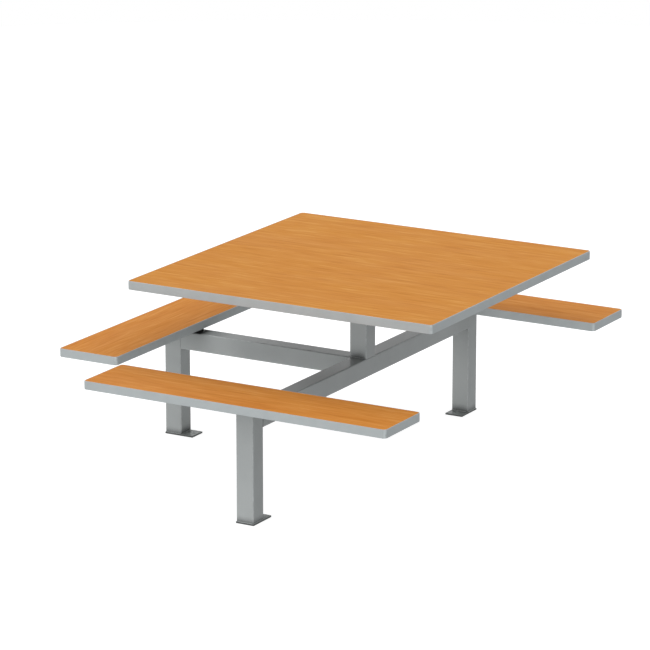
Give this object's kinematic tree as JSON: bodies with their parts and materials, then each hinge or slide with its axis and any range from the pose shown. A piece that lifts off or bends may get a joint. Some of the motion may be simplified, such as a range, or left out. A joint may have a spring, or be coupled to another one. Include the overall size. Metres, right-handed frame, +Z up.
{
  "type": "square table with attached benches",
  "caption": "Square wood-grain laminate table with benches on its front, left and back sides, on a welded square-tube frame with bolt-down feet; the right side stays open for a wheelchair.",
  "frame": {"origin": "centre of the whole footprint, on the floor under the foot plates", "axes": "+Z up; +Y from the front bench to the back bench; +X towards the side with no bench"},
  "size_m": [1.528, 1.831, 0.744],
  "materials": {
    "laminate": "satin wood-grain laminate",
    "core_board": "raw particleboard",
    "backing_sheet": "matt phenolic sheet",
    "edge_band": "satin vinyl",
    "painted_tube": "satin silver-grey powder coat",
    "painted_plate": "satin silver-grey powder coat",
    "painted_weld": "powder-coated weld bead",
    "zinc_screw": "bright zinc plate"
  },
  "bodies": {
    "root": {"top_laminate": "laminate", "front_bench_laminate": "laminate", "left_bench_laminate": "laminate", "back_bench_laminate": "laminate", "top_core": "core_board", "front_bench_core": "core_board", "left_bench_core": "core_board", "back_bench_core": "core_board", "top_backer": "backing_sheet", "front_bench_backer": "backing_sheet", "left_bench_backer": "backing_sheet", "back_bench_backer": "backing_sheet", "top_edge_band": "edge_band", "front_bench_edge_band": "edge_band", "left_bench_edge_band": "edge_band", "back_bench_edge_band": "edge_band", "main_beam": "painted_tube", "side_beam": "painted_tube", "centre_post": "painted_tube", "front_leg": "painted_tube", "left_leg": "painted_tube", "back_leg": "painted_tube", "front_foot_plate": "painted_plate", "left_foot_plate": "painted_plate", "back_foot_plate": "painted_plate", "front_bench_riser": "painted_plate", "left_bench_riser": "painted_plate", "back_bench_riser": "painted_plate", "front_bench_plate": "painted_plate", "left_bench_plate": "painted_plate", "back_bench_plate": "painted_plate", "front_arm": "painted_plate", "left_arm": "painted_plate", "back_arm": "painted_plate", "right_arm": "painted_plate", "foot_welds": "painted_weld", "beam_welds": "painted_weld", "post_welds": "painted_weld", "riser_welds": "painted_weld", "bench_plate_welds": "painted_weld", "arm_welds": "painted_weld", "top_screws": "zinc_screw", "front_bench_screws": "zinc_screw", "left_bench_screws": "zinc_screw", "back_bench_screws": "zinc_screw"}
  },
  "joints": []
}
